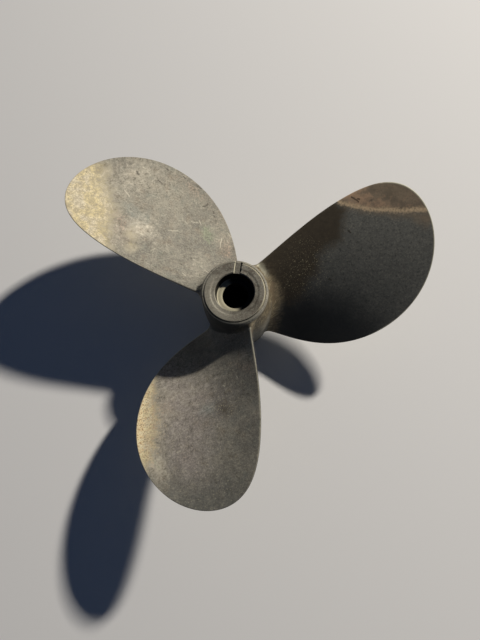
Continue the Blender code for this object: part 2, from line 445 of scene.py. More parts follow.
def buildCasting():
    mesh = bmesh.new()
    rings = bladeRings()
    arcs = tipArcs()
    middle, solid, faces = flankSector(rings[0])
    for number in range(blade["count"]):
        angle = sector * number
        addGrid(mesh, [spun(ring, angle) for ring in rings], True)
        addGrid(mesh, [spun(row, angle) for row in arcs], False)
        corners = [mesh.verts.new(spot) for spot in spun(solid, angle)]
        for face in faces:
            mesh.faces.new([corners[index] for index in face])
    count = hub["columns"] * blade["count"]
    high = sectorStart(shoulder, middle)
    low = sectorStart(flankLow, middle)
    aftRings = ringsOf(aftProfile(), high, count)
    foreRings = ringsOf(foreProfile(), low, count)
    turned = round((high - low) * count / math.tau)
    bottom = np.roll(foreRings[-1], -turned, 0)
    boreRings = [aftRings[-1] * (1 - share) + bottom * share for share in (0, 0.25, 0.5, 0.75, 1)]
    for part in (aftRings, foreRings, boreRings):
        addGrid(mesh, part, True)
    bmesh.ops.remove_doubles(mesh, verts=mesh.verts, dist=hub["mergeDistance"])
    bmesh.ops.recalc_face_normals(mesh, faces=mesh.faces)
    loose = [edge for edge in mesh.edges if len(edge.link_faces) != 2]
    print("casting has", len(mesh.faces), "faces and", len(loose), "open edges")
    bmesh.ops.translate(mesh, verts=mesh.verts, vec=(0, 0, datum))
    return meshObject("casting", mesh)


# The shallow slot across the aft face has a bevelled side, and a torn crack along its other
# side. Corners of both cutters: distance from the axis, then distance from the middle line at
# the depth of the cut and at the face.
slot = {
    "crackDepth": 0.0042,
    "cut": ((0.0120, 0.0038, 0.0046), (0.0600, 0.0038, 0.0046), (0.0600, -0.0034, -0.0036),
            (0.0120, -0.0034, -0.0036)),
    "crack": ((0.0246, -0.0036, -0.0036), (0.0258, -0.0032, -0.0030), (0.0278, -0.0027, -0.0025),
              (0.0292, -0.0031, -0.0032), (0.0312, -0.0033, -0.0034), (0.0326, -0.0029, -0.0028),
              (0.0340, -0.0025, -0.0022), (0.0358, -0.0030, -0.0029), (0.0392, -0.0027, -0.0025),
              (0.0392, -0.0050, -0.0052), (0.0360, -0.0047, -0.0049), (0.0345, -0.0049, -0.0054),
              (0.0330, -0.0044, -0.0046), (0.0312, -0.0043, -0.0045), (0.0296, -0.0048, -0.0050),
              (0.0272, -0.0044, -0.0046), (0.0252, -0.0040, -0.0041)),
}


# A cutter between its outline at the depth of the cut and one as far above the face
def buildCutter(name, corners, depth):
    angle = math.radians(hub["slotAngle"])
    mesh = bmesh.new()
    loops = []
    for level in (-depth, depth):
        spots = []
        for run, low, high in corners:
            off = high + (high - low) * level / depth
            x = run * math.cos(angle) - off * math.sin(angle)
            y = run * math.sin(angle) + off * math.cos(angle)
            spots.append(mesh.verts.new((x, y, hub["aft"] + level + datum)))
        loops.append(spots)
    mesh.faces.new(loops[0][::-1])
    mesh.faces.new(loops[1])
    for index in range(len(corners)):
        after = (index + 1) % len(corners)
        mesh.faces.new((loops[0][index], loops[0][after], loops[1][after], loops[1][index]))
    bmesh.ops.recalc_face_normals(mesh, faces=mesh.faces)
    return meshObject(name, mesh)


def cutSlot(body):
    cutters = (buildCutter("slotCutter", slot["cut"], hub["slotDepth"]),
               buildCutter("crackCutter", slot["crack"], slot["crackDepth"]))
    for cutter in cutters:
        step = body.modifiers.new(cutter.name, "BOOLEAN")
        step.operation = "DIFFERENCE"
        step.solver = "EXACT"
        step.object = cutter
    view = bpy.context.evaluated_depsgraph_get()
    data = bpy.data.meshes.new_from_object(body.evaluated_get(view))
    body.modifiers.clear()
    body.data = data
    for cutter in cutters:
        bpy.data.objects.remove(cutter, do_unlink=True)


# Marks on the aft faces, where the photo shows them: kind, blade, width of the fading rim in
# metres, strength, and an outline of places (share of the radius, place across the chord)
patches = (
    ("rubbed", 1, 0.015, 1.00, (
        (0.63, 1.3), (0.63, 1), (0.664, 0.83), (0.708, 0.62), (0.742, 0.42), (0.785, 0.32),
        (0.881, 0.07), (0.93, -0.25), (0.968, -0.52), (1.1, -0.8), (1.1, 1.3))),
    ("paled", 1, 0.026, 0.58, (
        (0.968, -0.62), (0.936, -0.85), (0.881, -0.92), (0.827, -0.85), (0.754, -0.33), (0.776, 0.03),
        (0.84, 0.18))),
    ("paled", 1, 0.020, 0.95, (
        (0.672, 0.45), (0.654, 0.28), (0.585, 0.2), (0.535, 0.37), (0.572, 0.57), (0.626, 0.6))),
    ("rubbed", 1, 0.012, 0.80, (
        (0.644, 0.58), (0.626, 0.5), (0.594, 0.53), (0.545, 0.77), (0.56, 0.88), (0.603, 0.8))),
    ("paled", 1, 0.020, 0.55, (
        (0.77, 0.42), (0.7, 0.48), (0.66, 0.46), (0.61, 0.66), (0.59, 0.98), (0.66, 0.98))),
    ("ruddy", 1, 0.012, 0.75, (
        (0.765, 0.42), (0.694, 0.36), (0.64, 0.52), (0.61, 0.8), (0.69, 0.66))),
    ("ruddy", 1, 0.016, 0.65, (
        (0.8, -0.86), (0.74, -0.98), (0.63, -0.99), (0.6, -0.8), (0.66, -0.68), (0.74, -0.74))),
    ("ruddy", 1, 0.012, 0.90, (
        (0.385, -0.7), (0.42, -0.94), (0.3, -0.94), (0.31, -0.66))),
    ("ruddy", 1, 0.016, 0.45, (
        (0.56, -0.96), (0.5, -0.98), (0.42, -0.84), (0.44, -0.74), (0.54, -0.8))),
    ("cooled", 1, 0.018, 0.60, (
        (0.75, 0.24), (0.72, 0), (0.64, 0.1), (0.6, 0.32), (0.66, 0.4))),
    ("greened", 1, 0.010, 0.85, (
        (0.5, -0.5), (0.5, -0.66), (0.42, -0.68), (0.38, -0.44), (0.43, -0.36))),
    ("paled", 1, 0.030, 0.20, (
        (0.62, 0.46), (0.56, 0.1), (0.48, -0.1), (0.44, 0.3), (0.52, 0.6))),
    ("paled", 1, 0.020, 0.40, (
        (0.344, 0.6), (0.321, -0.13), (0.23, 0.12), (0.23, 0.73), (0.307, 0.87))),
    ("darkened", 1, 0.030, 0.18, (
        (0.5, 0.45), (0.5, -1.3), (0.19, -1.3), (0.19, 1.3), (0.4, 1))),
    ("darkened", 1, 0.018, 0.30, (
        (0.51, -0.48), (0.51, -0.68), (0.42, -0.72), (0.36, -0.44), (0.42, -0.34))),
    ("darkened", 1, 0.016, 0.34, (
        (0.25, 1.3), (0.25, -1.3), (0.1, -1.3), (0.1, 1.3))),
    # partly pale wear, partly painted sheen: the low-edge half of blade 2 is lighter
    ("paled", 2, 0.040, 0.85, (
        (0.56, -0.9), (0.46, -0.4), (0.44, 0.05), (0.58, 0.02), (0.74, -0.3), (0.9, -0.8))),
    ("rubbed", 2, 0.006, 1.00, (
        (0.52, -1.3), (0.558, -0.97), (0.59, -0.93), (0.613, -0.8), (0.644, -0.84), (0.658, -0.66),
        (0.69, -0.7), (0.704, -0.55), (0.74, -0.64), (0.758, -0.52), (0.795, -0.64), (0.817, -0.56),
        (0.849, -0.69), (0.877, -0.66), (0.908, -0.87), (0.936, -1), (0.95, -1.3))),
    # partly bared gold, partly painted highlight: the gold along the low edge of blade 2 is brighter
    # than on blade 1
    ("gilded", 2, 0.012, 1.10, (
        (0.56, -1.3), (0.6, -1), (0.66, -0.92), (0.722, -0.84), (0.772, -0.79), (0.822, -0.8),
        (0.863, -0.84), (0.895, -0.92), (0.91, -1.3))),
    ("gilded", 2, 0.010, 0.56, (
        (0.52, -1.3), (0.558, -0.95), (0.59, -0.9), (0.613, -0.74), (0.644, -0.78), (0.658, -0.58),
        (0.69, -0.62), (0.704, -0.47), (0.74, -0.56), (0.758, -0.45), (0.795, -0.58), (0.817, -0.52),
        (0.849, -0.64), (0.877, -0.62), (0.908, -0.84), (0.936, -1))),
    ("speckled", 2, 0.030, 0.30, (
        (0.38, -0.9), (0.38, 0.95), (0.9, 0.9), (0.98, 0), (0.92, -0.6), (0.6, -0.75))),
    ("mauved", 2, 0.030, 0.60, (
        (0.46, -1.3), (0.4, 0), (0.46, 0.6), (0.9, 0.5), (0.96, 0), (0.9, -0.5), (0.6, -0.7))),
    ("paled", 2, 0.010, 0.90, (
        (0.83, -0.8), (0.84, -0.5), (0.863, -0.38), (0.899, -0.42), (0.936, -0.72), (0.922, -0.95))),
    ("greened", 2, 0.012, 0.62, (
        (0.85, -0.74), (0.85, -0.6), (0.87, -0.44), (0.9, -0.44), (0.92, -0.68), (0.88, -0.76))),
    ("ruddy", 2, 0.008, 0.85, (
        (0.58, -0.96), (0.62, -0.84), (0.68, -0.68), (0.75, -0.6), (0.82, -0.64), (0.86, -0.72),
        (0.85, -0.8), (0.8, -0.74), (0.74, -0.71), (0.68, -0.79), (0.62, -0.93))),
    ("ruddy", 2, 0.016, 0.75, (
        (0.635, -0.74), (0.58, -0.46), (0.644, -0.34), (0.7, -0.58))),
    ("ruddy", 2, 0.018, 0.55, (
        (0.484, -0.14), (0.475, 0.2), (0.55, 0.22), (0.56, -0.06))),
    ("ruddy", 2, 0.018, 0.60, (
        (0.631, -0.06), (0.613, 0.25), (0.65, 0.28), (0.68, 0.04))),
    ("ruddy", 2, 0.012, 0.70, (
        (0.321, 0.5), (0.348, 0.98), (0.42, 0.97), (0.36, 0.56))),
    ("ruddy", 2, 0.014, 0.45, (
        (0.77, -0.22), (0.76, 0.1), (0.83, 0.1), (0.86, -0.2))),
    ("cooled", 2, 0.010, 0.80, (
        (0.55, 0.02), (0.52, 0.3), (0.585, 0.3), (0.6, 0.08))),
    ("greened", 2, 0.010, 0.35, (
        (0.549, 0.3), (0.528, 0.55), (0.576, 0.62), (0.595, 0.4))),
    ("dulled", 2, 0.020, 0.65, (
        (0.92, -0.4), (0.9, 0.1), (0.86, 0.5), (0.84, 1.3), (1.1, 1.3), (1.1, -0.8))),
    ("grimed", 2, 0.014, 0.75, (
        (0.517, 0.29), (0.575, 0.33), (0.595, 0.5), (0.56, 0.6), (0.53, 0.45))),
    ("speckled", 2, 0.014, 1.00, (
        (0.5, 0.27), (0.575, 0.3), (0.605, 0.5), (0.56, 0.66), (0.52, 0.5))),
    # painted shade: the high-edge side of blade 2 is darker, out to the tip
    ("darkened", 2, 0.035, 0.30, (
        (0.6, 0.6), (0.6, 1.3), (1.1, 1.3), (1.1, -0.6), (0.93, -0.2), (0.8, 0.3))),
    ("darkened", 2, 0.030, 0.30, (
        (0.3, 0.5), (0.3, 1.3), (0.58, 1.3), (0.6, 0.7), (0.57, 0.4), (0.5, 0.35))),
    # painted shadow: the shadow that the hub and blade 0 cast on the root of blade 2
    ("darkened", 2, 0.030, 0.55, (
        (0.2, -1.3), (0.2, 0.9), (0.26, 0.7), (0.32, 0.2), (0.42, -0.44), (0.5, -1.3))),
    # blade 0 faces away from the key: its dull skin is partly patina, partly painted shade, and the
    # two dark patches below are painted shade that deepens toward its low edge and root
    ("dulled", 0, 0.014, 1.00, (
        (0.12, -1.3), (0.12, 1.3), (1.1, 1.3), (1.1, -1.3))),
    ("darkened", 0, 0.035, 1.00, (
        (0.12, 0.05), (0.4, 0.1), (0.6, -0.25), (0.76, -0.8), (0.8, -1.3), (0.12, -1.3))),
    ("darkened", 0, 0.045, 0.50, (
        (0.12, 1.3), (0.45, 0.6), (0.6, 0.25), (0.74, -0.05), (0.88, -0.6), (0.92, -1.3),
        (0.12, -1.3))),
    ("grimed", 0, 0.012, 1.00, (
        (0.12, 1.3), (0.66, 1.3), (0.665, 0.97), (0.69, 0.88), (0.644, 0.74), (0.613, 0.6),
        (0.59, 0.5), (0.503, 0.5), (0.467, 0.45), (0.44, 0.22), (0.389, 0.15), (0.36, -0.02),
        (0.33, -0.14), (0.27, -0.28), (0.12, -0.3))),
    ("speckled", 0, 0.020, 1.00, (
        (0.42, 0.72), (0.48, 0.56), (0.44, 0.16), (0.33, 0.05), (0.27, 0.18), (0.33, 0.6))),
    ("stained", 0, 0.003, 1.00, (
        (0.645, 1.3), (0.663, 0.97), (0.713, 0.82), (0.776, 0.67), (0.84, 0.56), (0.886, 0.47),
        (0.96, 0.38), (0.99, 0.35), (1.02, 0.2), (1.1, 1.3))),
    ("ruddy", 0, 0.014, 1.00, (
        (0.66, 1.3), (0.676, 0.96), (0.74, 0.76), (0.82, 0.6), (0.9, 0.48), (0.86, 0.62), (0.8, 0.88),
        (0.76, 1.3))),
    ("darkened", 0, 0.018, 0.60, (
        (0.8, 0.9), (0.84, 0.66), (0.93, 0.56), (1, 0.5), (0.98, 1.3), (0.9, 1.3))),
    ("edgeNear", 0, 0.006, 1.10, (
        (0.17, 0.66), (0.17, 1.1), (0.195, 1.02), (0.215, 0.86), (0.215, 0.74), (0.2, 0.64))),
    ("rusted", 0, 0.010, 1.00, (
        (0.68, 0.88), (0.776, 0.66), (0.886, 0.45), (0.99, 0.36), (1.02, -0.1), (0.98, -0.2),
        (0.94, 0.16), (0.895, 0.36), (0.81, 0.55), (0.74, 0.69))),
)
# Single scratches and nicks: blade, then the places of both ends
strokes = {
    "scratch": (
        (1, (0.813, 0.02), (0.772, 0.06)), (1, (0.605, 0.48), (0.572, 0.43)),
        (1, (0.521, 0.08), (0.495, -0.05)), (1, (0.526, -0.53), (0.498, -0.49)),
        (1, (0.531, -0.4), (0.521, -0.47)), (1, (0.412, -0.77), (0.365, -0.68)),
        (1, (0.535, -0.32), (0.518, -0.32)), (1, (0.403, -0.87), (0.392, -0.89)),
        (1, (0.877, -0.68), (0.866, -0.67)), (1, (0.294, 0.67), (0.271, 0.7)),
        (1, (0.257, 0.1), (0.23, 0.08)), (1, (0.335, 0.13), (0.321, 0.12)),
        (2, (0.517, 0.52), (0.52, 0.55)), (2, (0.754, 0.28), (0.758, 0.31)),
        (2, (0.817, 0.38), (0.827, 0.4)), (2, (0.44, 0.37), (0.446, 0.4)),
        (2, (0.694, -0.15), (0.672, -0.07)), (2, (0.795, -0.18), (0.781, -0.12)),
        (2, (0.403, 0.6), (0.408, 0.63)), (2, (0.485, -0.22), (0.485, -0.18)),
        (2, (0.631, 0.37), (0.635, 0.38)),
    ),
    "nick": (
        (1, (0.603, -0.77), (0.622, -0.88)), (1, (0.572, -0.87), (0.558, -0.87)),
        (1, (0.544, -0.85), (0.531, -0.85)), (1, (0.776, -0.95), (0.763, -0.93)),
        (1, (0.708, -0.95), (0.694, -0.97)), (1, (0.786, -0.55), (0.767, -0.53)),
        (1, (0.872, -0.53), (0.849, -0.47)), (1, (0.831, -0.87), (0.822, -0.85)),
        (0, (0.735, 0.95), (0.74, 0.88)), (0, (0.738, 0.93), (0.741, 0.86)),
        (0, (0.748, 0.9), (0.752, 0.88)), (0, (0.64, 0.6), (0.644, 0.55)),
        (0, (0.481, 0.05), (0.49, 0.02)),
    ),
}
# How strongly the pale rim, a painted highlight, shows at stations of the radius, along both edges of
# the blades
edgeShine = {
    "stations": (0.30, 0.60, 0.80, 1.00),
    "low": ((0.0, 0.0, 1.6, 2.4), (0.60, 0.45, 0.33, 0.20), (1.0, 0.75, 0.55, 0.35)),
    "high": ((0.0, 0.0, 0.0, 2.0), (0.15, 0.11, 0.08, 0.05), (1.0, 0.75, 0.55, 0.35)),
}
marking = {
    "sunnySide": -15,         # azimuth of the side of the hub that is khaki, partly as painted light
    "shadySide": 235,         # and of the side that gets painted shade, away from the key
    "grimySide": 305,         # and of the side where the turned faces are dirtiest
    "seatLitSide": 188,         # and of the side on which the seat gets painted light
    "shadeStrength": 0.75,
    "grimeStrength": 0.30,
    "rootMargin": 0.002,      # from the waist to where the blades' own marks begin
    "overEdge": 0.6,          # how far a mark runs over an edge, in shares of its thickness
    "underEdge": 0.3,         # and where the painted shade on the lower part of one high edge begins
    "underEdgeBlade": 2,
    "shineWidth": 0.0013,
    "mostShine": 1.2,
    "tideShift": 0.0010,      # from the outline of the stain in to the middle of its line
    "tideWidth": 0.0044,
    "rootReach": 0.026,       # how far the khaki of the hub runs out along the blades
    "rootFade": 0.004,        # and the height in which it fades in, down from the shoulder
    "rootShare": 0.35,        # its strength at the root level of the flank
    "rootRise": 0.060,        # and the height in which it would rise by one from there
    "ringDrop": 0.0006,       # of the pale ring of painted highlight, from the shoulder
    "ringWidth": 0.0022,
    "ringStrength": 1.3,
    "turnedDrop": 0.0015,     # how far the turned end reaches below the foot of the collar
    "turnedMargin": 0.001,    # and beyond the counterbore
    "backDepth": 0.0015,      # under the aft face, from where the skin counts as the back's
    "bladeShift": 3.7,        # shifts that give every blade, back and the flank its own skin
    "backShift": 1.9,
    "flankShift": -2.3,
    "beyondEdge": 0.15,       # how far out places beyond the edge go, clear of the blade
    "lastShare": 0.985,       # the last share of the radius at which the chord is measured
}
maskKinds = sorted({patch[0] for patch in patches} | {"tideLine", "rootNear"})


# Blade number, radius, distance along the chord and height above the aft face of points
def bladePlaces(points):
    out = np.hypot(points[:, 0], points[:, 1])
    slope = advance(out)
    run = np.hypot(out, slope)
    middle = skewAngle(out)
    best = None
    for number in range(blade["count"]):
        angle = azimuthOf(points) - number * sector - middle
        around = out * ((angle + math.pi) % math.tau - math.pi)
        up = points[:, 2] - datum - rake(out) - slope * middle
        along = (around * out + up * slope) / run
        above = (up * out - around * slope) / run
        found = np.stack([np.full_like(out, number), along, above], -1)
        if best is None:
            best = found
        nearer = np.abs(above) < np.abs(best[:, 2])
        best = np.where(nearer[:, None], found, best)
    return best[:, 0], out, best[:, 1], best[:, 2]


# Radius and distance across, in metres
def flatSpot(share, across):
    if abs(across) > 1:
        return share * radius, math.copysign(marking["beyondEdge"], across)
    return share * radius, across * float(halfWidth(min(share, marking["lastShare"]) * radius))


# Distance to the rim of an outline, less than nothing inside it
def rimDistance(points, loop):
    nearest = np.full(len(points), np.inf)
    for start, end in zip(loop, np.roll(loop, -1, 0)):
        side = end - start
        share = np.clip((points - start) @ side / (side @ side), 0, 1)
        gap = points - start - share[:, None] * side
        nearest = np.minimum(nearest, np.linalg.norm(gap, axis=1))
    return np.where(inside(points, loop), -nearest, nearest)


def clamped(values):
    return np.clip(values, 0, 1)


# The patches, and the line along the outline of the stain
def layPatches(masks, flat, number, shown):
    for kind, bladeNumber, soft, strength, places in patches:
        here = shown & (number == bladeNumber)
        gap = rimDistance(flat, np.array([flatSpot(*place) for place in places]))
        value = clamped(0.5 - gap / (2 * soft)) * strength
        masks[kind] = np.maximum(masks[kind], np.where(here, value, 0))
        if kind == "stained":
            line = clamped(1 - np.abs(gap + marking["tideShift"]) / marking["tideWidth"])
            masks["tideLine"] = np.maximum(masks["tideLine"], np.where(here, line, 0))


# The pale rims, a painted highlight along the edges. room is the distance to the edge of the blade.
def layShine(masks, out, number, along, room):
    near = clamped(1 - room / marking["shineWidth"])
    for side, sign in (("low", -1), ("high", 1)):
        for bladeNumber, shares in enumerate(edgeShine[side]):
            shine = np.interp(out / radius, edgeShine["stations"], shares) * near
            here = (number == bladeNumber) & (along * sign > 0)
            shine = np.where(here, np.minimum(shine, marking["mostShine"]), 0)
            masks["edgeNear"] = np.maximum(masks["edgeNear"], shine)


def paintMasks(body):
    points = np.zeros(len(body.data.vertices) * 3, np.float32)
    body.data.vertices.foreach_get("co", points)
    points = points.reshape(-1, 3).astype(float)
    azimuth = azimuthOf(points)
    facing = {
        side: np.cos(azimuth - math.radians(marking[side]))
        for side in ("sunnySide", "shadySide", "grimySide", "seatLitSide")
    }
    sunny = clamped(facing["sunnySide"]) ** 0.5
    number, out, along, above = bladePlaces(points)
    level = points[:, 2] - datum
    width = along * out / np.hypot(out, advance(out))
    edge = edgeThickness(out)
    onBlade = out > waist + marking["rootMargin"]
    masks = {kind: np.zeros(len(points)) for kind in maskKinds}
    shown = onBlade & (above > -marking["overEdge"] * edge)
    layPatches(masks, np.stack([out, width], -1), number, shown)
    room = (halfWidth(out) - np.abs(width)) * edgeFacing(out, 1)[1]
    layShine(masks, out, number, along, room)
    # painted shade: the lower half of the rounded high edge of one blade is dark and loses its pale
    # rim
    under = (number == marking["underEdgeBlade"]) & (along > 0) & (room < marking["shineWidth"])
    under &= onBlade & (above < -marking["underEdge"] * edge)
    masks["edgeNear"][under] = 0
    masks["darkened"][under] = 1
    # khaki near the roots, only on the side toward the key and fading down the flank: partly the
    # casting's colour, partly painted light
    depth = clamped(marking["rootShare"] + level / marking["rootRise"])
    depth *= clamped((shoulder - level) / marking["rootFade"])
    near = clamped(1 - (out - waist) / marking["rootReach"])
    masks["rootNear"] = near * sunny * np.where(onBlade, 1, depth)
    # painted highlight: a pale ring along the shoulder of the hub on the side toward the key
    ring = clamped(1 - np.abs(level - shoulder + marking["ringDrop"]) / marking["ringWidth"])
    masks["edgeNear"] = np.where(onBlade, masks["edgeNear"], marking["ringStrength"] * ring * sunny)
    turned = (out < collarRim + hub["grooveWidth"]) & (level > foot - marking["turnedDrop"])
    turned |= out < hub["counterboreDiameter"] / 2 + marking["turnedMargin"]
    masks["turned"] = turned.astype(float)
    # painted shade: the flank darkens toward the side away from the key
    shade = marking["shadeStrength"] * clamped(facing["shadySide"]) ** 1.5
    grime = marking["grimeStrength"] * clamped(facing["grimySide"])
    masks["darkened"] = np.where(turned, grime, np.where(onBlade, masks["darkened"], shade))
    back = np.where(above > -marking["backDepth"], 0, marking["backShift"])
    onBlades = np.stack([along, out, back + marking["bladeShift"] * number], -1)
    onFlank = np.stack([azimuth * waist, level, np.full_like(out, marking["flankShift"])], -1)
    for kind, values in masks.items():
        layer = body.data.attributes.new(kind, "FLOAT", "POINT")
        layer.data.foreach_set("value", values.astype(np.float32))
    places = {
        "skinSpot": np.where(onBlade[:, None], onBlades, onFlank),
        "turnSpot": np.stack([out, level, facing["seatLitSide"]], -1),
    }
    for name, values in places.items():
        layer = body.data.attributes.new(name, "FLOAT_VECTOR", "POINT")
        layer.data.foreach_set("vector", values.astype(np.float32).ravel())


def linear(code):
    shares = [int(code[i:i + 2], 16) / 255 for i in (1, 3, 5)]
    return [c / 12.92 if c <= 0.04045 else ((c + 0.055) / 1.055) ** 2.4 for c in shares] + [1.0]


# A value is another node's output, which is linked to the input of that name or number, or a
# setting of the node, or a constant for an input. The chosen output comes back.
def addNode(tree, kind, values, output=0):
    node = tree.nodes.new("ShaderNode" + kind)
    for name, value in values.items():
        if isinstance(value, bpy.types.NodeSocket):
            tree.links.new(value, node.inputs[name])
        elif isinstance(name, str) and hasattr(node, name):
            setattr(node, name, value)
        else:
            node.inputs[name].default_value = value
    return node.outputs[output] if node.outputs else None


# A material with the name of the function that makes its shader
def makeMaterial(shaderOf):
    material = bpy.data.materials.new(shaderOf.__name__)
    material.use_nodes = True
    material.node_tree.nodes.clear()
    addNode(material.node_tree, "OutputMaterial", {"Surface": shaderOf(material.node_tree)})
    return material


# The product of several shares. A step is the name of a value, where its share begins and
# where it is full, and how full. The name alone means that the value is the share.
def shareOf(tree, values, steps):
    total = None
    for name, *limits in steps:
        share = values[name]
        if limits:
            settings = dict(zip(("From Min", "From Max", "To Max"), limits))
            settings["interpolation_type"] = "SMOOTHSTEP"
            share = addNode(tree, "MapRange", settings | {"Value": share})
        if total is not None:
            share = addNode(tree, "Math", {"operation": "MULTIPLY", 0: total, 1: share})
        total = share
    return total


# A colour with tints laid over it. A tint is the name of its colour and the steps that show it.
def tinted(tree, values, colours, colour, tints):
    for name, *steps in tints:
        share = shareOf(tree, values, steps)
        mix = {"data_type": "RGBA", 0: share, 6: colour, 7: linear(colours[name])}
        colour = addNode(tree, "Mix", mix, 2)
    return colour


# Tints for lighter and darker spots of three sizes, and how full they get
def spots(name, top, dustTop=None):
    tints = []
    for kind, full in (("grain", top), ("dust", dustTop or top), ("speck", top)):
        tints.append((name + "Light", (kind, 0.52, 0.70, full)))
        tints.append((name + "Dark", (kind, 0.48, 0.30, full)))
    return tints


# A mask frayed by noise: full where both together pass high, nothing below low
def frayed(tree, mask, wild, amount, low, high):
    part = addNode(tree, "Math", {"operation": "MULTIPLY_ADD", 0: wild, 1: amount, 2: -amount / 2})
    both = addNode(tree, "Math", {"operation": "ADD", 0: mask, 1: part})
    return shareOf(tree, {"both": both, "mask": mask}, (("both", low, high), ("mask", 0.0, 0.12)))


# Noise that is stretched to run one way. heading is in degrees.
def stretched(tree, spot, heading, length, width):
    turn = (0, 0, math.radians(heading))
    settings = {"vector_type": "TEXTURE", "Rotation": turn, "Scale": (length, width, 1)}
    place = addNode(tree, "Mapping", settings | {"Vector": spot})
    return addNode(tree, "TexNoise", {"Scale": 1.0, "Detail": 2, "Vector": place})


# One more layer over a skin: where the mask is full, its own colour, roughness and metal show
def coat(tree, skin, mask, colour, roughness, metallic):
    mix = {"data_type": "RGBA", 0: mask, 6: skin["Base Color"], 7: colour}
    return {
        "Base Color": addNode(tree, "Mix", mix, 2),
        "Roughness": addNode(tree, "Mix", {0: mask, 2: skin["Roughness"], 3: roughness}),
        "Metallic": addNode(tree, "Mix", {0: mask, 2: skin["Metallic"], 3: metallic}),
    }


# Manganese bronze, sand cast and ground by hand, then weathered in the open. The eye gets a
# dull olive-grey skin with cloudy tones, fine grinding lines and pale scratches. Where it was
# rubbed it is golden and pale. Stains are rust-brown, and grime is dark and matt.
# Some marks are painted light: shade on parts that face away from the key and under cast shadow,
# highlights on rims and patches that face it.
bronze = {
    "light": "#969388",
    "dark": "#797770",
    "cool": "#7d827b",
    "warm": "#867a6b",
    "skinLight": "#a8a596",
    "skinDark": "#5c594c",
    "pale": "#cbc4b3",
    "paleLight": "#efe9d9",
    "paleDark": "#9b9482",
    "mauve": "#a09994",
    "mauveLight": "#c6beb8",
    "mauveDark": "#7a736e",
    "cold": "#9aa29c",
    "coldLight": "#c0c8c2",
    "coldDark": "#707872",
    "pink": "#a18c7c",
    "pinkLight": "#c9b19f",
    "pinkDark": "#76614f",
    "green": "#828d74",
    "greenLight": "#abb59a",
    "greenDark": "#596449",
    "golden": "#e8daa9",
    "straw": "#d8d0b8",
    "worn": "#9a917c",
    "gilt": "#fff4cc",
    "amber": "#f6dcaa",
    "tan": "#966a42",
    "rust": "#a08e78",
    "umber": "#7b6e5e",
    "sienna": "#b1957a",
    "olive": "#6e6552",
    "halo": "#8f806a",
    "tide": "#d3bc99",
    "grime": "#4c4436",
    "soil": "#433c30",
    "dull": "#686964",
    "ash": "#777872",
    "dusk": "#2c2f30",
    "edge": "#b0ae9c",
    "khaki": "#a2967a",
    "streak": "#5f5644",
    "speck": "#d6cda6",
    "fleck": "#d2cebc",
    "pit": "#3a362c",
    "cloudSize": 0.060,
    "mottleSize": 0.014,
    "grainSize": 0.0055,
    "dustSize": 0.0024,
    "speckSize": 0.0016,
    "lineSize": (0.030, 0.0006),        # length and width
    "lineHeadings": (-20, 35, 80),
    "scratchSize": (0.022, 0.0011),
    "scratchHeadings": (-50, 10, 65),
    "scratchBend": (25.0, 0.012),       # how fine the noise is that bends them, and how far
    "webSize": (0.009, 0.0026),
    "webHeading": 82,
    "strokeBend": (45.0, 0.010),
    "strokeRagged": 0.0020,             # how much the fine noise narrows single strokes
    "bump": (0.6, 0.0003),              # strength and height
    "metallic": 0.30,
    "roughness": 0.76,
    "roughnessRange": 0.08,
}
skinTints = [
    ("light", ("cloud", 0.35, 0.65)),
    ("cool", ("mottle", 0.50, 0.72, 0.6)),
    ("warm", ("mottle", 0.46, 0.30, 0.5)),
    *spots("skin", 0.5, 0.65),
]
lineTint = ("fleck", ("line", 0.54, 0.74, 0.13))
